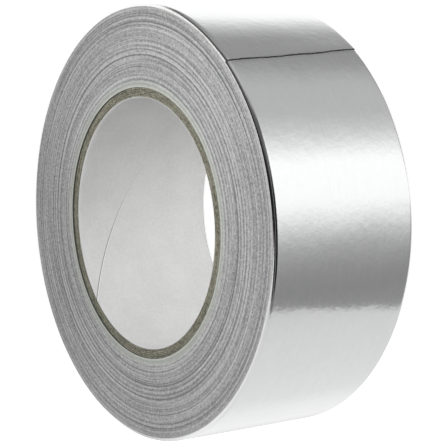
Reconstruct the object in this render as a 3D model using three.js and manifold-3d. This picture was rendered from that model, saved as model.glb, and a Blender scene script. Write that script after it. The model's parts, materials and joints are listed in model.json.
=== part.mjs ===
// Roll of aluminium foil tape with a release liner, on a spiral-wound board core.
// Millimetres, +Z up. The roll stands on its rim on Z = 0 with its axis along Y.
// Angles are degrees in the XZ plane, from +X towards +Z. Going outwards, the strip winds
// towards smaller angles, over the top of the roll, and ends just past the top.

import * as THREE from "three";
import { mergeVertices } from "three/addons/utils/BufferGeometryUtils.js";
import Module from "manifold-3d";

const wasm = await Module();
wasm.setup();

// The strip: foil outside, adhesive under it, release liner inside.
const STRIP_WIDTH = 50;
const FOIL_THICKNESS = 0.05;
const ADHESIVE_THICKNESS = 0.03;
const LINER_THICKNESS = 0.085;
const STRIP_THICKNESS = FOIL_THICKNESS + ADHESIVE_THICKNESS + LINER_THICKNESS;
const LAYER_FIT = 0.005; // left free between two layers that touch

// The roll.
const ROLL_RADIUS = 66.25; // at the free end, where the roll is thickest
const EDGE_DROP = 1.0; // how far the outer turns are pressed in at the rims
const EDGE_WIDTH = 1.25;
const EDGE_STATIONS = [0, 0.3, 1]; // fractions of EDGE_WIDTH, from the rim inwards

// The core: a thin white liner ply inside five plies of grey board.
const BORE_RADIUS = 38.1;
const CORE_RADIUS = 41.0;
const CORE_RECESS = 0.1; // of the core behind the wound tape, at each end
const CORE_LINER_THICKNESS = 0.15;
const BOARD_PLIES = 5;
const PLY_FIT = 0.01;
const SEAM_SLOT = 0.43; // measured round the ply, between the edges that meet
const SEAM_RISE = 0.347; // millimetres along the axis for one degree
const SEAM_START = -134; // where the white ply's seam leaves the near end, midway along a facet
const SEAM_SPACING = 68; // from one ply's seam to the next ply's, a whole number of facets

// The facets all start at END_ANGLE, so nested rings keep their clearance all the way round.
const FACETS = 90;
const FACET_STEP = 360 / FACETS;
const END_ANGLE = 48; // the outside steps in by one strip here
const TAB_ANGLE = 24; // the loose length of the free end
const ROOT_GAP = 0.1; // between the loose end and the rest of its turn
const BUTT_GAP = 0.05; // between the last turn and the turn it carries on from
const CUT_NEAR_ANGLE = 48.35; // the free end's oblique cut, at the near rim
const CUT_FAR_ANGLE = 52.6;

const RADIANS = Math.PI / 180;
const ARC_DEGREE = ROLL_RADIUS * RADIANS; // length of one degree on the outside
const LOWEST_TURN = 270 - FACET_STEP / 2 - END_ANGLE; // the lower facet starts here
const AXIS_HEIGHT = windRadius(0, LOWEST_TURN) * Math.cos(FACET_STEP / 2 * RADIANS);

const LAYERS = {
  foil: [0, FOIL_THICKNESS - LAYER_FIT],
  adhesive: [FOIL_THICKNESS, FOIL_THICKNESS + ADHESIVE_THICKNESS - LAYER_FIT],
  liner: [FOIL_THICKNESS + ADHESIVE_THICKNESS, STRIP_THICKNESS - LAYER_FIT],
};

const COLOURS = {
  foil: { color: 0xd4d6d8, metalness: 1, roughness: 0.25 },
  adhesive: { color: 0xd9d7c4, metalness: 0, roughness: 0.3 },
  liner: { color: 0xeeeae0, metalness: 0, roughness: 0.7 },
  wound: { color: 0xa5a7a8, metalness: 0.6, roughness: 0.5 },
  coreLiner: { color: 0xe9e8e4, metalness: 0, roughness: 0.8 },
  board: { color: 0x8d8570, metalness: 0, roughness: 0.9 },
};

/** Radius of the surface `depth` below the outside, `turn` degrees back from END_ANGLE. */
function windRadius(depth, turn) {
  return ROLL_RADIUS - depth - STRIP_THICKNESS * turn / 360;
}

/** A point of the roll, before the roll is lifted onto its rim. */
function rollPoint(radius, angle, y) {
  const a = angle * RADIANS;
  return new THREE.Vector3(radius * Math.cos(a), y, radius * Math.sin(a));
}

/** [y, drop] across the strip: level in the middle, rounded down to both rims. */
function edgeProfile() {
  const near = EDGE_STATIONS.map((share) => {
    const drop = EDGE_DROP * (1 - Math.sqrt(1 - (1 - share) ** 2));
    return [share * EDGE_WIDTH - STRIP_WIDTH / 2, drop];
  });
  const far = near.map(([y, drop]) => [-y, drop]).reverse();
  return [...near, ...far];
}

/** Turn angles on the facet grid from `first` to `last`, both included. */
function turnSteps(first, last) {
  const steps = [first];
  for (let turn = FACET_STEP; turn < last; turn += FACET_STEP) {
    if (turn > first) steps.push(turn);
  }
  steps.push(last);
  return steps;
}

/** Adds a flat four-sided face as two triangles, leaving out a triangle with no area. */
function addQuad(positions, a, b, c, d) {
  for (const corners of [[a, b, c], [a, c, d]]) {
    const [p, q, r] = corners;
    if (p.equals(q) || q.equals(r) || r.equals(p)) continue;
    corners.forEach((corner) => positions.push(corner.x, corner.y, corner.z));
  }
}

function indexed(positions) {
  const geometry = new THREE.BufferGeometry();
  geometry.setAttribute("position", new THREE.Float32BufferAttribute(positions, 3));
  return mergeVertices(geometry, 1e-5);
}

/** Joins a row of closed sections, each anticlockwise as seen from the next one. */
function addSides(positions, sections) {
  for (let i = 0; i + 1 < sections.length; i += 1) {
    const [here, next] = [sections[i], sections[i + 1]];
    here.forEach((corner, j) => {
      const k = (j + 1) % here.length;
      addQuad(positions, corner, here[k], next[k], next[j]);
    });
  }
}

/** Closes one end of a sheet whose section is its outer edge, then its inner edge reversed. */
function addSheetCap(positions, section, flip) {
  const count = section.length;
  for (let j = 0; j + 1 < count / 2; j += 1) {
    const corners = [section[j], section[j + 1], section[count - 2 - j], section[count - 1 - j]];
    if (flip) corners.reverse();
    addQuad(positions, ...corners);
  }
}

/** One layer of the last turn, from one turn angle to another. */
function layerArc(layer, firstTurn, lastTurn) {
  const [top, bottom] = LAYERS[layer];
  const profile = edgeProfile();
  const sections = turnSteps(firstTurn, lastTurn).map((turn) => {
    const place = ([y, drop], depth) => {
      return rollPoint(windRadius(depth + drop, turn), END_ANGLE + turn, y);
    };
    const outer = profile.map((station) => place(station, top));
    const inner = profile.map((station) => place(station, bottom)).reverse();
    return [...outer, ...inner];
  });
  const positions = [];
  addSides(positions, sections);
  addSheetCap(positions, sections[0], true);
  addSheetCap(positions, sections.at(-1), false);
  return indexed(positions);
}

/** All the turns under the last one, as one ring whose outside steps by one strip. */
function woundTape() {
  const profile = edgeProfile();
  const rim = STRIP_WIDTH / 2;
  const stepFoot = windRadius(STRIP_THICKNESS + EDGE_DROP, 360);
  const faceRing = stepFoot - 1; // a ring of corners on each end face, clear of the rim
  const sections = turnSteps(0, 360).map((turn) => {
    const angle = END_ANGLE + turn % 360;
    const outer = profile.map(([y, drop]) => {
      return rollPoint(windRadius(STRIP_THICKNESS + drop, turn), angle, y);
    });
    const ring = angle === END_ANGLE ? stepFoot : faceRing;
    const near = [rollPoint(CORE_RADIUS, angle, -rim), rollPoint(ring, angle, -rim)];
    const far = [rollPoint(ring, angle, rim), rollPoint(CORE_RADIUS, angle, rim)];
    return [...near, ...outer, ...far];
  });
  const positions = [];
  addSides(positions, sections);
  const [high, low] = [sections[0], sections.at(-1)];
  for (let j = 2; j < 1 + profile.length; j += 1) {
    addQuad(positions, low[j], low[j + 1], high[j + 1], high[j]);
  }
  return indexed(positions);
}

function toSolid(geometry) {
  const bare = geometry.clone();
  bare.deleteAttribute("normal");
  bare.deleteAttribute("uv");
  const merged = mergeVertices(bare, 1e-5);
  return new wasm.Manifold(new wasm.Mesh({
    numProp: 3,
    vertProperties: merged.attributes.position.array,
    triVerts: new Uint32Array(merged.index.array),
  }));
}

function fromSolid(solid) {
  const mesh = solid.getMesh();
  const geometry = new THREE.BufferGeometry();
  geometry.setAttribute("position", new THREE.BufferAttribute(mesh.vertProperties, 3));
  geometry.setIndex(new THREE.BufferAttribute(mesh.triVerts, 1));
  return geometry;
}

/** The loose end of one layer, with its oblique cut. */
function layerTab(layer) {
  const uncut = layerArc(layer, 0, TAB_ANGLE);
  const cutAngle = (CUT_NEAR_ANGLE + CUT_FAR_ANGLE) / 2;
  const slope = (CUT_FAR_ANGLE - CUT_NEAR_ANGLE) * ARC_DEGREE / STRIP_WIDTH;
  const reach = 10;
  const waste = new THREE.BoxGeometry(reach, 2 * STRIP_WIDTH, reach);
  waste.translate(reach / 2, 0, 0);
  waste.rotateZ(Math.atan(slope));
  waste.rotateY((90 - cutAngle) * RADIANS);
  const foot = rollPoint(ROLL_RADIUS, cutAngle, 0);
  waste.translate(foot.x, foot.y, foot.z);
  return fromSolid(toSolid(uncut).subtract(toSolid(waste)));
}

/** A thin helical wall that parts a ply along the seam where its edges meet. */
function seamCutter(innerRadius, outerRadius, startAngle) {
  const margin = 0.5;
  const halfSlot = SEAM_SLOT / 2 / (CORE_RADIUS * RADIANS);
  const stepAngle = 2 * FACET_STEP;
  const stepRise = stepAngle * SEAM_RISE;
  const sections = [];
  for (let i = -1; (i - 1) * stepRise < STRIP_WIDTH; i += 1) {
    const y = i * stepRise - STRIP_WIDTH / 2;
    const angle = startAngle - i * stepAngle;
    sections.push([
      rollPoint(outerRadius + margin, angle + halfSlot, y),
      rollPoint(outerRadius + margin, angle - halfSlot, y),
      rollPoint(innerRadius - margin, angle - halfSlot, y),
      rollPoint(innerRadius - margin, angle + halfSlot, y),
    ]);
  }
  const positions = [];
  addSides(positions, sections);
  addSheetCap(positions, sections[0], true);
  addSheetCap(positions, sections.at(-1), false);
  return indexed(positions);
}

/** One ply of the core: a tube parted by its own helical seam. */
function corePly(innerRadius, outerRadius, seamAngle) {
  const half = STRIP_WIDTH / 2 - CORE_RECESS;
  const profile = [
    new THREE.Vector2(innerRadius, -half),
    new THREE.Vector2(outerRadius, -half),
    new THREE.Vector2(outerRadius, half),
    new THREE.Vector2(innerRadius, half),
    new THREE.Vector2(innerRadius, -half),
  ];
  const tube = new THREE.LatheGeometry(profile, FACETS, (90 - END_ANGLE) * RADIANS);
  const cutter = seamCutter(innerRadius, outerRadius, seamAngle);
  return fromSolid(toSolid(tube).subtract(toSolid(cutter)));
}

const group = new THREE.Group();
group.name = "foil_tape_roll";

function addPart(name, geometry, colour) {
  const faces = geometry.index ? geometry.toNonIndexed() : geometry;
  faces.translate(0, 0, AXIS_HEIGHT);
  faces.computeVertexNormals();
  const mesh = new THREE.Mesh(faces, new THREE.MeshStandardMaterial(COLOURS[colour]));
  mesh.name = name;
  group.add(mesh);
}

function addCore() {
  const boardStart = BORE_RADIUS + CORE_LINER_THICKNESS;
  const boardThickness = (CORE_RADIUS - boardStart) / BOARD_PLIES;
  addPart("core_liner_ply", corePly(BORE_RADIUS, boardStart - PLY_FIT, SEAM_START), "coreLiner");
  for (let i = 1; i <= BOARD_PLIES; i += 1) {
    const inner = boardStart + (i - 1) * boardThickness;
    const outer = inner + boardThickness - PLY_FIT;
    const ply = corePly(inner, outer, SEAM_START - i * SEAM_SPACING);
    addPart(`core_board_ply_${i}`, ply, "board");
  }
}

function addTape() {
  const rootTurn = TAB_ANGLE + ROOT_GAP / ARC_DEGREE;
  const lastTurn = 360 - BUTT_GAP / ARC_DEGREE;
  addPart("wound_tape", woundTape(), "wound");
  for (const layer of ["liner", "adhesive", "foil"]) {
    addPart(`${layer}_last_turn`, layerArc(layer, rootTurn, lastTurn), layer);
    addPart(`${layer}_end_tab`, layerTab(layer), layer);
  }
}

addCore();
addTape();

export default group;
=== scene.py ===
# Foil tape roll: the looks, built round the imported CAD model, in its frame.
# The roll's own lengths are in mm and its angles in degrees; the studio's are in metres.
import json
import math

import bpy
import numpy as np
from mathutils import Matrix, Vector


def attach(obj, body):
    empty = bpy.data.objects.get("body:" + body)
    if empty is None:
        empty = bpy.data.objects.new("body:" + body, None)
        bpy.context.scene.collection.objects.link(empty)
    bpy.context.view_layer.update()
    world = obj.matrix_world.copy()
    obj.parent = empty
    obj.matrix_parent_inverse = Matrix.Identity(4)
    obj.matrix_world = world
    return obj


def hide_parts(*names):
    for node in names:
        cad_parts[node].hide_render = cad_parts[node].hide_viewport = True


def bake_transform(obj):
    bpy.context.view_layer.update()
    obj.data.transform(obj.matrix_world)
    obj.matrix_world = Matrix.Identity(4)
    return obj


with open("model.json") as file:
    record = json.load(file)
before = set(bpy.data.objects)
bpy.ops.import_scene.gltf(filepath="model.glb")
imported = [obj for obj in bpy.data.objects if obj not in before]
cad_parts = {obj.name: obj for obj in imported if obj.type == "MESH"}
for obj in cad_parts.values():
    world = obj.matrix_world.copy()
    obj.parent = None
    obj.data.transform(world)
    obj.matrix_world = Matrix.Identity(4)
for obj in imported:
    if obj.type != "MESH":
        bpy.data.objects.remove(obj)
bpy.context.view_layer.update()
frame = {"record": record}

MM = 0.001
SEED = 7

# The strip and the roll, as in the CAD model.
STRIP_WIDTH = 50.0
FOIL_THICKNESS = 0.05
ADHESIVE_THICKNESS = 0.03
LINER_THICKNESS = 0.085
STRIP_THICKNESS = FOIL_THICKNESS + ADHESIVE_THICKNESS + LINER_THICKNESS
LAYER_FIT = 0.005
ROLL_RADIUS = 66.25
EDGE_DROP = 1.0
EDGE_WIDTH = 1.25
END_ANGLE = 48.0
CUT_NEAR_ANGLE = 48.35
CUT_FAR_ANGLE = 52.6
BORE_RADIUS = 38.1
CORE_RADIUS = 41.0
CORE_RECESS = 0.1
CORE_LINER_THICKNESS = 0.15
BOARD_PLIES = 5
SEAM_RISE = 0.347
SEAM_START = -134.0
SEAM_SPACING = 68.0

# What only the looks need.
JOIN_TURN = 34.0  # where the loose end's piece meets the wrap, behind the root
CUT_BOW = 1.2  # of the free end's cut, in degrees
LIFT_LEAST = 0.2  # how far the cut edge stands off the roll
LIFT_RAGGED = 0.55  # and how much of cut_lift it has besides
LIFT_REACH = 3.8  # the lift dies away over this length
BAND_PITCH = 1.45  # between the faint painted bands of light and shade on the end faces
FACE_LINES = 18  # bands of turns that sit back from each end face
FACE_GAP = 0.02  # of the end faces behind the strip's edges
LINE_SINK = 0.12  # depth of the deepest band
TURN_STEP = 0.022  # how unevenly single turns sit
CORE_SLANT = 0.45  # the core's near end is cut this much out of square
PLY_STEP = 0.06  # the most that one board ply sits back from another
PLY_FIT = 0.02  # left free between two plies
LAP_HEIGHT = 0.06  # of the white ply's last edge over its first
LAP_TURN = 7.0  # over which the lapped ply comes back down

# What follows from them.
BOARD_START = BORE_RADIUS + CORE_LINER_THICKNESS
PLY_THICKNESS = (CORE_RADIUS - BOARD_START) / BOARD_PLIES
BORE = next(m for m in frame["record"]["mounts"] if m["name"] == "core_bore")
AXIS = Vector((0, 0, BORE["pos_m"][2]))
ARC_DEGREE = math.radians(ROLL_RADIUS)  # length of one degree on the outside

rng = np.random.default_rng(SEED)


# ---------------------------------------------------------------- geometry

def wind_radius(depth, turn):
    """Radius in mm of the surface depth below the outside, turn degrees back from END_ANGLE."""
    return ROLL_RADIUS - depth - STRIP_THICKNESS * turn / 360


def roll_points(radius, angle, y):
    """Points of the roll in metres, from radius and y in mm and an angle in degrees."""
    a = np.radians(angle)
    x, z = radius * np.cos(a), radius * np.sin(a)
    y = np.broadcast_to(y, np.shape(x))
    return np.stack([x * MM + AXIS.x, y * MM + AXIS.y, z * MM + AXIS.z], axis=-1)


def wave_field(count, lengths_a, lengths_b, amplitude):
    """A smooth random field over two lengths in mm: a sum of slanted waves, its height in mm."""
    terms = []
    for _ in range(count):
        length_a = rng.uniform(*lengths_a) * rng.choice([-1, 1])
        length_b = rng.uniform(*lengths_b)
        terms.append((length_a, length_b, rng.uniform(0, 2 * math.pi)))

    def field(a, b):
        total = 0
        for length_a, length_b, phase in terms:
            total = total + np.sin(2 * math.pi * (a / length_a + b / length_b) + phase)
        return total * amplitude / math.sqrt(count)
    return field


def build_mesh(name, points, faces, sharp_degrees=35):
    """A smooth-shaded mesh object with its corners kept sharp."""
    mesh = bpy.data.meshes.new(name)
    mesh.from_pydata(points.reshape(-1, 3).tolist(), [], faces)
    mesh.update()
    mesh.shade_smooth()
    mesh.set_sharp_from_angle(angle=math.radians(sharp_degrees))
    piece = bpy.data.objects.new(name, mesh)
    bpy.context.scene.collection.objects.link(piece)
    return piece


def grid_faces(rows, columns, close_rows, close_columns):
    """Quads of a grid of points, row by row, closed round in either direction."""
    faces = []
    for i in range(rows if close_rows else rows - 1):
        for j in range(columns if close_columns else columns - 1):
            k, m = (i + 1) % rows, (j + 1) % columns
            faces.append((i * columns + j, i * columns + m, k * columns + m, k * columns + j))
    return faces


def cap_faces(first, count, flip):
    """The end of a thin layer whose section is its top, then its underside backwards."""
    faces = []
    for j in range(count // 2 - 1):
        quad = (first + j, first + j + 1, first + count - 2 - j, first + count - 1 - j)
        faces.append(quad[::-1] if flip else quad)
    return faces


def layer_mesh(name, sections):
    """A thin layer swept through its sections, each the top across, then the underside back."""
    rows, columns = sections.shape[:2]
    faces = grid_faces(rows, columns, False, True)
    faces += cap_faces(0, columns, True)
    faces += cap_faces((rows - 1) * columns, columns, False)
    return build_mesh(name, sections, faces)


def edge_drop(share):
    """How far the surface is down at a share of the way in from the rim."""
    return EDGE_DROP * (1 - np.sqrt(np.clip(1 - (1 - share) ** 2, 0, 1)))


def across(edge_steps, middle_steps):
    """[y, drop] stations across the strip, close together where its edges round down."""
    turn = np.linspace(0, math.pi / 2, edge_steps + 1)
    share = 1 - np.cos(turn)
    near_y = share * EDGE_WIDTH - STRIP_WIDTH / 2
    near_drop = edge_drop(share)
    middle = np.linspace(near_y[-1], -near_y[-1], middle_steps + 1)[1:-1]
    y = np.concatenate([near_y, middle, -near_y[::-1]])
    drop = np.concatenate([near_drop, np.zeros(len(middle)), near_drop[::-1]])
    return y, drop


foil_ripple = wave_field(count=14, lengths_a=(9, 30), lengths_b=(2.5, 14), amplitude=0.0035)
foil_swell = wave_field(count=8, lengths_a=(16, 60), lengths_b=(12, 45), amplitude=0.018)


def foil_relief(turn, y):
    """How far the outside swells and ripples, in mm."""
    arc = turn * ARC_DEGREE
    return foil_ripple(arc, y) + foil_swell(arc, y)


# Depths below the outside of each layer's top and underside.
LAYERS = {
    "foil": (0.0, FOIL_THICKNESS - LAYER_FIT),
    "adhesive": (FOIL_THICKNESS, FOIL_THICKNESS + ADHESIVE_THICKNESS - LAYER_FIT),
    "liner": (FOIL_THICKNESS + ADHESIVE_THICKNESS, STRIP_THICKNESS - LAYER_FIT),
}


def layer_sections(layer, turns, y, drop, lift=0.0):
    """Sections of one layer at a grid of turns, one row for each section."""
    top, bottom = LAYERS[layer]
    relief = foil_relief(turns, y) + lift
    outer = roll_points(wind_radius(top + drop, turns) + relief, END_ANGLE + turns, y)
    inner = roll_points(wind_radius(bottom + drop, turns) + relief, END_ANGLE + turns, y)
    return np.concatenate([outer, inner[:, ::-1]], axis=1)


def make_wrap(layer, steps, edge_steps, middle_steps):
    """One layer of the last turn, from behind the loose end round to under it."""
    y, drop = across(edge_steps, middle_steps)
    turns = np.linspace(JOIN_TURN, JOIN_TURN + 360, steps + 1)[:, None] * np.ones(len(y))
    return layer_mesh(f"{layer}_wrap", layer_sections(layer, turns, y, drop))


cut_wander = wave_field(count=7, lengths_a=(5, 19), lengths_b=(5, 19), amplitude=0.07)
cut_lift = wave_field(count=6, lengths_a=(7, 24), lengths_b=(7, 24), amplitude=0.07)


def cut_turn(y):
    """Where the free end is cut: oblique, a little bowed, and ragged."""
    share = y / STRIP_WIDTH + 0.5
    angle = CUT_NEAR_ANGLE + (CUT_FAR_ANGLE - CUT_NEAR_ANGLE) * share - CUT_BOW * share * (1 - share)
    return angle - END_ANGLE + cut_wander(y, 0) / ARC_DEGREE


def make_end(layer, lift_share, set_back):
    """One layer of the loose end. It lifts a little where it is cut."""
    y, drop = across(edge_steps=8, middle_steps=46)
    cut = cut_turn(y) + set_back / ARC_DEGREE
    fine_share = 0.06  # the sections are closer together in this share, at the cut
    fine = np.linspace(0, fine_share, 8)[:-1]
    share = np.concatenate([fine, np.linspace(fine_share, 1, 96)])[:, None]
    turns = cut + (JOIN_TURN - cut) * share
    away = (turns - cut) * ARC_DEGREE
    far_corner = np.clip((y - 20) / 5, 0, 1)  # lies flatter than the rest
    height = LIFT_LEAST + LIFT_RAGGED * np.abs(cut_lift(y, 0)) - 0.12 * far_corner
    lift = lift_share * height * np.exp(-(away / LIFT_REACH) ** 2)
    return layer_mesh(f"{layer}_end", layer_sections(layer, turns, y, drop, lift))


def face_lines():
    """The turns that sit back from the end face, as bands of their own depth and reach."""
    lines = []
    for i in range(FACE_LINES):
        lines.append({
            "place": 0.05 + 0.93 * (i + rng.uniform(-0.25, 0.25)) / FACE_LINES,
            "width": rng.uniform(0.007, 0.011),
            "depth": rng.uniform(0.35, 1.0),
            "centre": rng.uniform(0, 360),
            "reach": rng.uniform(80, 240),
            "sway": rng.uniform(0.002, 0.008),
            "phase": rng.uniform(0, 360),
        })
    return lines


def line_depth(lines, share, angle):
    """0 where the face is level, towards 1 in the deepest line."""
    total = np.zeros(np.broadcast(share, angle).shape)
    for line in lines:
        off = np.abs((angle - line["centre"] + 180) % 360 - 180)
        around = np.exp(-(off / line["reach"]) ** 2)
        sway = line["sway"] * np.sin(np.radians(angle + line["phase"]))
        band = np.exp(-((share - line["place"] - sway) / line["width"]) ** 2)
        total += line["depth"] * around * band
    return np.clip(total, 0, 1.3)


def end_face(side, radius, angle, share):
    """One end face's points and the depth of its lines, side -1 for the near face and 1 for the far."""
    lines = face_lines()
    turn_count = int((ROLL_RADIUS - CORE_RADIUS) / STRIP_THICKNESS) + 2
    step = rng.normal(0, TURN_STEP, turn_count + 2)
    wander = rng.normal(0, 0.3, turn_count + 2)
    place = (radius - CORE_RADIUS) / STRIP_THICKNESS + angle / 360
    index = np.clip(place.astype(int), 0, turn_count)
    offset = step[index] * (1 + wander[index] * np.sin(np.radians(angle * 2)))
    depth = line_depth(lines, share, angle)
    sink = LINE_SINK * depth + offset
    # The face is level where it meets the core and the rim.
    level_share = 0.01
    settle = np.clip(share / level_share, 0, 1) * np.clip((1 - share) / level_share, 0, 1)
    y = side * (STRIP_WIDTH / 2 - FACE_GAP - np.clip(sink * settle, -0.05, 0.3))
    return roll_points(radius, angle, y), depth


def make_wound_turns():
    """All the turns under the last: end faces with their relief, and the rounded rims."""
    columns = 300
    face_rows = 160
    angle = np.arange(columns)[:, None] * 360 / columns
    turn = (angle - END_ANGLE - JOIN_TURN) % 360 + JOIN_TURN
    outside = wind_radius(STRIP_THICKNESS, turn)
    rim = outside - EDGE_DROP
    share = np.linspace(0, 1, face_rows)[None, :]
    radius = CORE_RADIUS + (rim - CORE_RADIUS) * share
    y_edge, drop = across(edge_steps=6, middle_steps=4)
    near, near_depth = end_face(-1, radius, angle, share)
    far, far_depth = end_face(1, radius, angle, share)
    crown = roll_points(outside - drop, angle, y_edge)
    crown_depth = np.zeros((columns, len(drop) - 2))
    ring = np.concatenate([near, crown[:, 1:-1], far[:, ::-1]], axis=1)
    depth = np.concatenate([near_depth, crown_depth, far_depth[:, ::-1]], axis=1)
    faces = grid_faces(*ring.shape[:2], True, True)
    piece = build_mesh("wound_turns", ring, faces, sharp_degrees=60)
    # The bands' depth is kept for the edge material, which paints shade into them.
    line = piece.data.attributes.new("line", "FLOAT", "POINT")
    line.data.foreach_set("value", depth.ravel())
    return piece


ply_fuzz = wave_field(count=10, lengths_a=(1.5, 7), lengths_b=(1.5, 7), amplitude=0.045)


def core_stations(edge, middle_steps):
    """[y, nip] stations along the core: nip is how far its cut corners are taken off."""
    half = STRIP_WIDTH / 2 - CORE_RECESS
    middle = np.linspace(edge - half, half - edge, middle_steps)
    y = np.concatenate([[-half], middle, [half]])
    nip = np.zeros(len(y))
    nip[[0, -1]] = edge
    return y, nip


def slanted(y, angle):
    """y with the near end of the core pushed in a little on its -X side."""
    return y + CORE_SLANT / 2 * (1 - np.cos(np.radians(angle))) * (0.5 - y / STRIP_WIDTH)


def seam_angle(seam, y):
    """Where round the core a seam is, at y along it."""
    return seam - (y + STRIP_WIDTH / 2) / SEAM_RISE


def make_board_ply(number):
    """One helically wound ply of board, counted from the bore outwards."""
    inner = BOARD_START + (number - 1) * PLY_THICKNESS
    seam_gap = 0.3  # in degrees, each side of the seam
    turn = np.linspace(seam_gap, 360 - seam_gap, 241)[:, None]
    y, nip = core_stations(edge=0.07, middle_steps=25)
    angle = turn + seam_angle(SEAM_START - number * SEAM_SPACING, y)
    y = y + rng.uniform(0, PLY_STEP) * np.sign(-y)
    fuzz = ply_fuzz(angle * ARC_DEGREE, number * 10.0) * (nip > 0)
    y = slanted(y - fuzz * np.sign(y), angle)
    inside = roll_points(inner + nip, angle, y)
    outside = roll_points(inner + PLY_THICKNESS - PLY_FIT - nip, angle, y)
    sections = np.concatenate([outside, inside[:, ::-1]], axis=1)
    return layer_mesh(f"core_board_{number}", sections)


def make_core_liner():
    """The white ply: its last edge laps over its first, so the seam is a small step."""
    step = [0.0, 0.12, 0.35]
    lap = np.linspace(0.8, LAP_TURN + 3, 16)
    rest = np.linspace(12, 360, 175)
    turn = np.concatenate([step, lap, rest])
    height = LAP_HEIGHT * np.clip(1 - turn / LAP_TURN, 0, 1) ** 1.5
    height[0] = 0
    y, nip = core_stations(edge=0.04, middle_steps=35)
    angle = turn[:, None] + seam_angle(SEAM_START, y)
    height = height[:, None] * np.clip(-y / 18, 0.1, 1)  # it is pressed flat towards the far end
    y = slanted(y, angle)
    inside = roll_points(BORE_RADIUS + nip - height, angle, y)
    outside = roll_points(BORE_RADIUS + CORE_LINER_THICKNESS - nip + 0 * angle, angle, y)
    sections = np.concatenate([outside, inside[:, ::-1]], axis=1)
    faces = grid_faces(len(turn) - 1, 2 * len(nip), True, True)
    return build_mesh("core_liner", sections[:-1], faces, sharp_degrees=50)


# ---------------------------------------------------------------- materials

# Linear colours.
FOIL_DULL = (0.89, 0.895, 0.90, 1)
FOIL_BRIGHT = (0.93, 0.932, 0.935, 1)
# Painted shadow on the foil under the free end.
FOIL_SHADOW = (0.45, 0.45, 0.45, 1)
ADHESIVE_DARK = (0.62, 0.61, 0.55, 1)
ADHESIVE_LIGHT = (0.76, 0.75, 0.70, 1)
RELEASE_DARK = (0.74, 0.72, 0.66, 1)
RELEASE_LIGHT = (0.86, 0.85, 0.80, 1)
WHITE_DARK = (0.66, 0.66, 0.655, 1)
WHITE_LIGHT = (0.76, 0.76, 0.755, 1)
SEAM_LIP = (0.95, 0.95, 0.95, 1)
SEAM_DARK = (0.2, 0.2, 0.195, 1)
BOARD_DARK = (0.08, 0.077, 0.055, 1)
BOARD_LIGHT = (0.4, 0.39, 0.31, 1)
GLUE_LINE = (0.055, 0.053, 0.04, 1)
EDGE_DARK = (0.24, 0.24, 0.242, 1)
EDGE_LIGHT = (0.65, 0.65, 0.652, 1)
# Painted shade in the sunk bands of the end faces.
LINE_SHADE = (0.09, 0.09, 0.092, 1)
FIRST_TURNS = (0.60, 0.635, 0.56, 1)
OUTER_TURNS = (0.3, 0.3, 0.302, 1)
# Painted shade where the core meets the wound turns.
GAP_SHADE = (0.05, 0.05, 0.04, 1)
FLOOR_DARK = (0.86, 0.86, 0.86, 1)
FLOOR_LIGHT = (0.88, 0.88, 0.88, 1)

SHADOW_LENGTH = 2.2  # of the painted shadow on the foil under the free end, in mm


class Nodes:
    """A short way to write a node tree."""

    def __init__(self, tree):
        self.tree = tree
        self.tree.nodes.clear()

    def add(self, kind, inputs=(), **settings):
        node = self.tree.nodes.new(kind)
        for key, value in settings.items():
            setattr(node, key, value)
        for key, value in dict(inputs).items():
            socket = node.inputs[key]
            if isinstance(value, bpy.types.NodeSocket):
                self.tree.links.new(value, socket)
            else:
                socket.default_value = value
        return node

    def math(self, operation, a, b=0.0, c=0.0, clamp=False):
        node = self.add("ShaderNodeMath", {0: a, 1: b, 2: c}, operation=operation)
        node.use_clamp = clamp
        return node.outputs[0]

    def weighted(self, *terms):
        """The sum of weight times value."""
        total = None
        for weight, value in terms:
            term = self.math("MULTIPLY", value, weight)
            total = term if total is None else self.math("ADD", total, term)
        return total

    def blend(self, share, a, b, mode="MIX"):
        node = self.add("ShaderNodeMix", data_type="RGBA", blend_type=mode)
        for socket, value in ((node.inputs[0], share), (node.inputs[6], a), (node.inputs[7], b)):
            if isinstance(value, bpy.types.NodeSocket):
                self.tree.links.new(value, socket)
            else:
                socket.default_value = value
        return node.outputs[2]

    def span(self, value, low, high, to_low=0.0, to_high=1.0, kind="SMOOTHSTEP"):
        """to_low at low, to_high at high, and a smooth step between."""
        inputs = {0: value, 1: low, 2: high, 3: to_low, 4: to_high}
        return self.add("ShaderNodeMapRange", inputs, interpolation_type=kind).outputs[0]

    def noise(self, vector, scale, detail=2.0, roughness=0.5):
        inputs = {"Vector": vector, "Scale": scale, "Detail": detail, "Roughness": roughness}
        return self.add("ShaderNodeTexNoise", inputs).outputs["Fac"]

    def vector(self, x, y, z):
        return self.add("ShaderNodeCombineXYZ", {0: x, 1: y, 2: z}).outputs[0]

    def ramp(self, value, stops):
        node = self.add("ShaderNodeValToRGB", {0: value})
        elements = node.color_ramp.elements
        while len(elements) > 1:
            elements.remove(elements[0])
        for i, (position, colour) in enumerate(stops):
            element = elements[0] if i == 0 else elements.new(position)
            element.position = position
            element.color = colour
        return node.outputs[0]


def grey(level):
    """A linear grey from a display level, where 255 is white."""
    shown = level / 255
    value = shown / 12.92 if shown <= 0.04045 else ((shown + 0.055) / 1.055) ** 2.4
    return (value, value, value, 1)


def new_material(name):
    material = bpy.data.materials.new(name)
    material.use_nodes = True
    return material, Nodes(material.node_tree)


def roll_coordinates(n):
    """Radius in mm, angle in radians and y in mm about the roll's axis, and the place in mm."""
    coordinates = n.add("ShaderNodeTexCoord").outputs["Object"]
    parts = n.add("ShaderNodeSeparateXYZ", {0: coordinates}).outputs
    x = n.math("MULTIPLY", parts[0], 1 / MM)
    y = n.math("MULTIPLY", parts[1], 1 / MM)
    z = n.math("MULTIPLY", n.math("SUBTRACT", parts[2], AXIS.z), 1 / MM)
    radius = n.math("SQRT", n.math("ADD", n.math("MULTIPLY", x, x), n.math("MULTIPLY", z, z)))
    return radius, n.math("ARCTAN2", z, x), y, n.vector(x, y, z)


def finish_material(n, shader):
    n.add("ShaderNodeOutputMaterial", {"Surface": shader})


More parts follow.
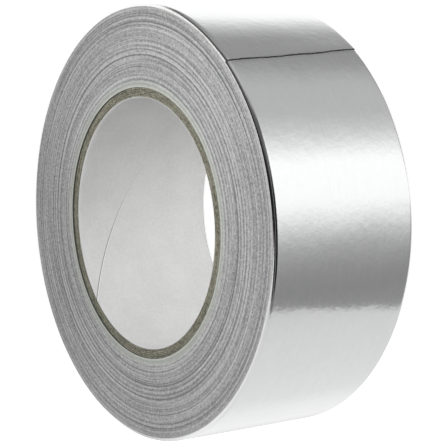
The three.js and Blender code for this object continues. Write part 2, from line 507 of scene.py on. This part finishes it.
def rolled_noise(n, y, arc, across_scale, round_scale, offset, detail, roughness=0.5):
    """Noise drawn out round the roll, as rolling leaves it."""
    across_part = n.math("MULTIPLY", y, across_scale)
    round_part = n.math("MULTIPLY", arc, round_scale)
    return n.noise(n.vector(across_part, round_part, offset), 1.0, detail, roughness)


def end_shadow_share(n, angle, y):
    """1 just under the free end, where a shadow is painted on the foil, and 0 elsewhere."""
    half = STRIP_WIDTH / 2
    cut = n.span(y, -half, half, CUT_NEAR_ANGLE, CUT_FAR_ANGLE, "LINEAR")
    below = n.math("MULTIPLY", n.math("SUBTRACT", cut, n.math("DEGREES", angle)), ARC_DEGREE)
    fading = n.span(below, SHADOW_LENGTH, 0.0, 0.0, 0.36)
    return n.math("MULTIPLY", fading, n.math("GREATER_THAN", below, 0.0))


def foil_material():
    material, n = new_material("rolled_foil")
    _, angle, y, place = roll_coordinates(n)
    arc = n.math("MULTIPLY", angle, ROLL_RADIUS)
    lines = rolled_noise(n, y, arc, 9.0, 0.035, 0.0, 3.0, 0.6)
    bands = rolled_noise(n, y, arc, 1.1, 0.05, 4.0, 2.0)
    dimples = n.noise(place, 0.42, 3.0, 0.6)
    height = n.weighted((0.05, lines), (1.0, dimples))
    bump = n.add("ShaderNodeBump", {"Height": height, "Strength": 0.085, "Distance": 0.0006})
    tone = n.weighted((0.2, lines), (0.35, bands), (0.45, dimples))
    colour = n.blend(n.span(tone, 0.3, 0.7), FOIL_DULL, FOIL_BRIGHT)
    # Painted shadow on the foil just under the free end.
    colour = n.blend(end_shadow_share(n, angle, y), colour, FOIL_SHADOW)
    roughness = n.span(tone, 0.25, 0.75, 0.12, 0.17)
    shader = n.add("ShaderNodeBsdfPrincipled", {
        "Base Color": colour, "Metallic": 1.0, "Roughness": roughness, "Normal": bump.outputs[0],
    })
    finish_material(n, shader.outputs[0])
    return material


def adhesive_material():
    material, n = new_material("tacky_adhesive")
    _, _, _, place = roll_coordinates(n)
    grain = n.noise(place, 1.6, 4.0, 0.6)
    colour = n.blend(grain, ADHESIVE_DARK, ADHESIVE_LIGHT)
    bump = n.add("ShaderNodeBump", {"Height": grain, "Strength": 0.25, "Distance": 0.0002})
    roughness = n.span(grain, 0.3, 0.7, 0.18, 0.34)
    shader = n.add("ShaderNodeBsdfPrincipled", {
        "Base Color": colour, "Metallic": 0.35, "Roughness": roughness, "Normal": bump.outputs[0],
    })
    finish_material(n, shader.outputs[0])
    return material


def draw_seam(n, colour, angle, y):
    """The lapped seam on the bore: a dark line with a light lip, fading towards the far end."""
    fall = n.math("DIVIDE", n.math("ADD", y, STRIP_WIDTH / 2), SEAM_RISE)
    lead = n.math("SUBTRACT", n.math("ADD", n.math("DEGREES", angle), fall), SEAM_START)
    lead = n.math("WRAP", lead, 180.0, -180.0)
    fade = n.span(y, -17.0, 1.0, 1.0, 0.02)
    dark = n.span(n.math("ABSOLUTE", lead), 0.7, 0.2)
    lip = n.span(n.math("ABSOLUTE", n.math("SUBTRACT", lead, 0.9)), 0.5, 0.2)
    lip_share = n.math("MULTIPLY", n.math("MULTIPLY", lip, fade), 0.8)
    dark_share = n.math("MULTIPLY", n.math("MULTIPLY", dark, fade), 0.9)
    return n.blend(dark_share, n.blend(lip_share, colour, SEAM_LIP), SEAM_DARK)


def paper_material(name, dark, light, scale, roughness, with_seam=False):
    """Cloudy, fibrous paper between two colours."""
    material, n = new_material(name)
    _, angle, y, place = roll_coordinates(n)
    cloud = n.noise(place, 0.08, 2.0)
    fibre = n.noise(place, scale, 5.0, 0.62)
    tone = n.weighted((0.45, cloud), (0.55, fibre))
    colour = n.blend(n.span(tone, 0.3, 0.7), dark, light)
    if with_seam:
        colour = draw_seam(n, colour, angle, y)
    bump = n.add("ShaderNodeBump", {"Height": fibre, "Strength": 0.12, "Distance": 0.0001})
    shader = n.add("ShaderNodeBsdfPrincipled", {
        "Base Color": colour, "Roughness": roughness, "Normal": bump.outputs[0],
    })
    finish_material(n, shader.outputs[0])
    return material


def board_material():
    """Grey-olive recycled board: plies of slightly different tone, flecks and torn fibres."""
    material, n = new_material("recycled_board")
    radius, angle, y, place = roll_coordinates(n)
    ply = n.math("DIVIDE", n.math("SUBTRACT", radius, BOARD_START), PLY_THICKNESS)
    from_middle = n.math("ABSOLUTE", n.math("SUBTRACT", n.math("FRACT", ply), 0.5))
    glue_line = n.span(from_middle, 0.22, 0.5)
    flecks = n.noise(place, 1.3, 6.0, 0.75)
    torn = n.vector(n.math("MULTIPLY", radius, 3.0), n.math("MULTIPLY", angle, 22.0), y)
    fibres = n.noise(torn, 1.0, 5.0, 0.65)
    round_ply = n.vector(n.math("FLOOR", ply), n.math("MULTIPLY", angle, 2.0), 0.0)
    worn = n.noise(round_ply, 1.0, 2.0, 0.6)
    tone = n.weighted((0.45, flecks), (0.3, fibres), (0.25, worn))
    colour = n.blend(n.span(tone, 0.38, 0.62), BOARD_DARK, BOARD_LIGHT)
    colour = n.blend(n.math("MULTIPLY", glue_line, 0.8), colour, GLUE_LINE)
    bump = n.add("ShaderNodeBump", {"Height": tone, "Strength": 0.6, "Distance": 0.0002})
    shader = n.add("ShaderNodeBsdfPrincipled", {
        "Base Color": colour, "Roughness": 0.9, "Normal": bump.outputs[0],
    })
    finish_material(n, shader.outputs[0])
    return material


def wound_edge_material():
    """Slit edges of foil and paper: a speckled satin grey, in fine uneven turns."""
    material, n = new_material("wound_edges")
    radius, angle, _, place = roll_coordinates(n)
    windings = n.math("DIVIDE", radius, STRIP_THICKNESS)
    turn = n.math("ADD", windings, n.math("DIVIDE", angle, 2 * math.pi))
    # The noises run on round the roll without a seam.
    along_x = n.math("MULTIPLY", n.math("COSINE", angle), 0.9)
    along_z = n.math("MULTIPLY", n.math("SINE", angle), 0.9)
    fine = n.noise(n.vector(n.math("MULTIPLY", turn, 0.40), along_x, along_z), 1.0, 2.0, 0.7)
    broad = n.noise(n.vector(n.math("MULTIPLY", turn, 0.1), along_x, along_z), 1.0, 3.0, 0.6)
    grain = n.noise(place, 1.9, 2.0, 0.8)
    # Every few turns the strip sits proud; the light and shade of this is painted as faint bands in the
    # colour.
    phase = n.weighted((2 * math.pi / BAND_PITCH, radius), (9.0, broad))
    band_shade = n.math("MULTIPLY", n.math("SINE", phase), n.span(broad, 0.35, 0.6, 0.012, 0.045))
    tone = n.weighted((0.42, fine), (0.12, broad), (0.46, grain))
    tone = n.math("ADD", tone, band_shade)
    colour = n.blend(n.span(tone, 0.36, 0.64), EDGE_DARK, EDGE_LIGHT)
    # Painted shade in the bands of turns that sit back from the face, as dark as each band is deep.
    line = n.add("ShaderNodeAttribute", attribute_name="line").outputs["Fac"]
    colour = n.blend(n.math("MULTIPLY", line, 0.72, clamp=True), colour, LINE_SHADE)
    # The first turns are paler and greener, the last ones greyer, and the core meets them in a narrow
    # gap, whose shade is painted in as a dark band.
    ragged = n.math("ADD", radius, n.math("MULTIPLY", n.math("SUBTRACT", fine, 0.5), 2.4))
    first_turns = n.span(ragged, CORE_RADIUS + 0.2, CORE_RADIUS + 3.0, 0.6, 0.0)
    colour = n.blend(first_turns, colour, FIRST_TURNS)
    outer_turns = n.span(radius, ROLL_RADIUS - 2.6, ROLL_RADIUS - 1.2, 0.0, 0.2)
    colour = n.blend(outer_turns, colour, OUTER_TURNS)
    gap_shade = n.span(radius, CORE_RADIUS + 0.02, CORE_RADIUS + 0.14, 0.85, 0.0)
    colour = n.blend(gap_shade, colour, GAP_SHADE)
    height = n.weighted((0.7, grain), (0.5, fine))
    bump = n.add("ShaderNodeBump", {"Height": height, "Strength": 0.5, "Distance": 0.0002})
    shader = n.add("ShaderNodeBsdfPrincipled", {
        "Base Color": colour, "Metallic": 0.25, "Roughness": 0.55, "Normal": bump.outputs[0],
    })
    finish_material(n, shader.outputs[0])
    return material


# ---------------------------------------------------------------- pieces

foil = foil_material()
adhesive = adhesive_material()
release_paper = paper_material("release_paper", RELEASE_DARK, RELEASE_LIGHT, 1.4, 0.42)
white_paper = paper_material("white_paper", WHITE_DARK, WHITE_LIGHT, 1.1, 0.6, with_seam=True)
board = board_material()
wound_edges = wound_edge_material()


def place_piece(piece, material, node, body="roll"):
    """Say what the piece is made of, which CAD node it stands for and which body it rides on."""
    piece.data.materials.append(material)
    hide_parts(node)
    if body:
        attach(piece, body)
    return piece


# What each layer is made of, how finely its wrap is divided (steps round, in the rounded edges,
# in the middle), the body its end rides on, its share of the lift, and its set-back at the cut.
TAPE = {
    "foil": (foil, (400, 8, 44), "tape_end", 1.0, 0.0),
    "adhesive": (adhesive, (180, 4, 6), "tape_end", 1.0, 0.3),
    "liner": (release_paper, (180, 4, 6), "liner_end", 0.6, 0.45),
}


def add_tape():
    place_piece(make_wound_turns(), wound_edges, "wound_tape")
    for layer, (finish, steps, body, lift_share, set_back) in TAPE.items():
        place_piece(make_wrap(layer, *steps), finish, f"{layer}_last_turn")
        end = make_end(layer, lift_share, set_back)
        place_piece(end, finish, f"{layer}_end_tab", None)
        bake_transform(end)


def add_core():
    place_piece(make_core_liner(), white_paper, "core_liner_ply")
    for number in range(1, BOARD_PLIES + 1):
        place_piece(make_board_ply(number), board, f"core_board_ply_{number}")


# ---------------------------------------------------------------- studio

CAMERA_AZIMUTH = 54.11
CAMERA_ELEVATION = 6.49
CAMERA_DISTANCE = 0.4745
CAMERA_LENS = 122.2
SENSOR_WIDTH = 36
AIM_RIGHT = 0.0048
AIM_UP = -0.0018


def add_camera():
    azimuth, elevation = math.radians(CAMERA_AZIMUTH), math.radians(CAMERA_ELEVATION)
    back = Vector((
        math.sin(azimuth) * math.cos(elevation),
        -math.cos(azimuth) * math.cos(elevation),
        math.sin(elevation),
    ))
    right = Vector((math.cos(azimuth), math.sin(azimuth), 0))
    up = back.cross(right)
    camera = bpy.data.objects.new("camera", bpy.data.cameras.new("camera"))
    camera.data.lens = CAMERA_LENS
    camera.data.sensor_width = SENSOR_WIDTH
    camera.location = AXIS + back * CAMERA_DISTANCE + right * AIM_RIGHT + up * AIM_UP
    camera.rotation_mode = "QUATERNION"
    camera.rotation_quaternion = (-back).to_track_quat("-Z", "Y")
    bpy.context.scene.collection.objects.link(camera)
    bpy.context.scene.camera = camera


# The studio that the foil mirrors, as display greys at angles round the roll's axis: 0 is
# towards +X, 90 straight up and 180 towards -X. The table is below 0.
STUDIO_START, STUDIO_STOP = -150.0, 210.0
STUDIO = [
    (-150, 130), (-100, 150), (-60, 150), (-42, 143), (-35, 138), (-24, 147), (-13, 168), (-7, 190),
    (0, 226), (6, 248), (11, 262), (34, 266), (42, 236), (50, 207), (60, 187), (70, 187), (80, 184),
    (86, 172), (94, 152), (103, 150), (113, 153), (120, 176), (128, 215), (138, 262), (172, 266),
    (181, 225), (190, 190), (205, 140),
]


def studio_colour(n, x, z):
    angle = n.math("DEGREES", n.math("ARCTAN2", z, x))
    below = n.math("LESS_THAN", angle, STUDIO_START)
    angle = n.math("ADD", angle, n.math("MULTIPLY", below, 360.0))
    whole = STUDIO_STOP - STUDIO_START
    share = n.math("DIVIDE", n.math("SUBTRACT", angle, STUDIO_START), whole)
    return n.ramp(share, [((a - STUDIO_START) / whole, grey(level)) for a, level in STUDIO])


def darken_front(n, colour, x, y, z):
    """In front of the near face the room is dark, with one paler streak. Overhead it stays bright."""
    front = n.span(y, 0.34, 0.14)
    not_overhead = n.span(z, 0.95, 0.75)
    right_side = n.span(x, -0.74, -0.64)
    streak = n.math("ABSOLUTE", n.math("SUBTRACT", x, 0.80))
    dark = n.blend(n.span(z, 0.2, 0.6), grey(28), grey(92))
    dark = n.blend(n.span(streak, 0.10, 0.02), dark, grey(120))
    share = n.math("MULTIPLY", n.math("MULTIPLY", front, not_overhead), right_side)
    return n.blend(share, colour, dark)


def soft_light(n, y, z):
    """The light that falls on rough surfaces: more from below, and a little more from behind."""
    soft = n.blend(n.span(z, -0.25, 0.35), grey(238), grey(150))
    strength = n.span(y, -0.8, 0.8, 0.42, 0.46)
    return n.blend(1.0, soft, n.vector(strength, strength, strength), "MULTIPLY")


def add_world():
    """One world for three kinds of ray: white to the camera, a studio in mirrors, soft elsewhere."""
    world = bpy.data.worlds.new("studio")
    bpy.context.scene.world = world
    world.use_nodes = True
    n = Nodes(world.node_tree)
    direction = n.add("ShaderNodeTexCoord").outputs["Generated"]
    x, y, z = n.add("ShaderNodeSeparateXYZ", {0: direction}).outputs
    mirrored = darken_front(n, studio_colour(n, x, z), x, y, z)
    path = n.add("ShaderNodeLightPath").outputs
    light = n.blend(path["Is Glossy Ray"], soft_light(n, y, z), mirrored)
    light = n.blend(path["Is Camera Ray"], light, (1.05, 1.05, 1.05, 1))
    background = n.add("ShaderNodeBackground", {"Color": light, "Strength": 1.0})
    n.add("ShaderNodeOutputWorld", {"Surface": background.outputs[0]})


def add_area(name, place, size, power, target):
    """A square light that neither the camera nor the foil sees."""
    light = bpy.data.objects.new(name, bpy.data.lights.new(name, "AREA"))
    light.data.shape = "SQUARE"
    light.data.size = size
    light.data.energy = power
    light.location = Vector(place)
    light.rotation_mode = "QUATERNION"
    light.rotation_quaternion = (Vector(target) - light.location).to_track_quat("-Z", "Y")
    light.visible_glossy = False
    light.visible_camera = False
    bpy.context.scene.collection.objects.link(light)


FLOOR_HALF = 3.0  # half the floor's side


def add_floor():
    """A white floor that only the camera sees."""
    corners = FLOOR_HALF * np.array([(-1, -1, 0), (1, -1, 0), (1, 1, 0), (-1, 1, 0)])
    floor = build_mesh("floor", corners, [(0, 1, 2, 3)])
    material, n = new_material("pale_floor")
    place = n.add("ShaderNodeTexCoord").outputs["Object"]
    tone = n.blend(n.noise(place, 30.0, 2.0), FLOOR_DARK, FLOOR_LIGHT)
    shader = n.add("ShaderNodeBsdfPrincipled", {
        "Base Color": tone, "Roughness": 0.9,
        "Emission Color": (1, 1, 1, 1), "Emission Strength": 0.85,
    })
    finish_material(n, shader.outputs[0])
    floor.data.materials.append(material)
    floor.visible_glossy = False
    floor.visible_diffuse = False


TABLE_EDGE = [(0.12, -0.6), (0.12, 0.005), (0.112, 0.04), (0.107, 0.05), (0.098, 0.075), (0.09, 0.6)]
TABLE_DEPTH = 0.0005  # below the floor
TABLE_HALF = 0.107
TABLE_GREYS = [(0.0, 200), (0.2, 243), (0.3, 238), (0.38, 225), (0.55, 218), (0.75, 213), (1.0, 206)]


def add_table_glow():
    """The lit table top that the foil mirrors. Its edge is the sharp line low on the foil."""
    edge = np.array(TABLE_EDGE)
    outline = np.concatenate([edge, edge[::-1] * [-1, 1]])
    corners = np.concatenate([outline, np.full((len(outline), 1), -TABLE_DEPTH)], axis=1)
    table = build_mesh("table_glow", corners, [tuple(range(len(outline)))])
    material, n = new_material("table_glow")
    place = n.add("ShaderNodeTexCoord").outputs["Object"]
    x = n.add("ShaderNodeSeparateXYZ", {0: place}).outputs[0]
    share = n.math("DIVIDE", n.math("ABSOLUTE", x), TABLE_HALF)
    colour = n.ramp(share, [(position, grey(level)) for position, level in TABLE_GREYS])
    shader = n.add("ShaderNodeEmission", {"Color": colour, "Strength": 1.05})
    finish_material(n, shader.outputs[0])
    table.data.materials.append(material)
    table.visible_camera = False
    table.visible_diffuse = False
    table.visible_shadow = False


def add_studio():
    add_world()
    add_floor()
    add_table_glow()
    add_area("key", place=(0.04, -0.18, 0.122), size=0.10, power=0.255, target=(0.02, -0.025, 0.07))
    add_area("back", place=(0.035, 0.11, 0.13), size=0.10, power=0.14, target=(-0.03, 0.0, 0.04))
    scene = bpy.context.scene
    scene.view_settings.view_transform = "Standard"
    scene.view_settings.look = "None"


add_camera()
add_core()
add_tape()
add_studio()
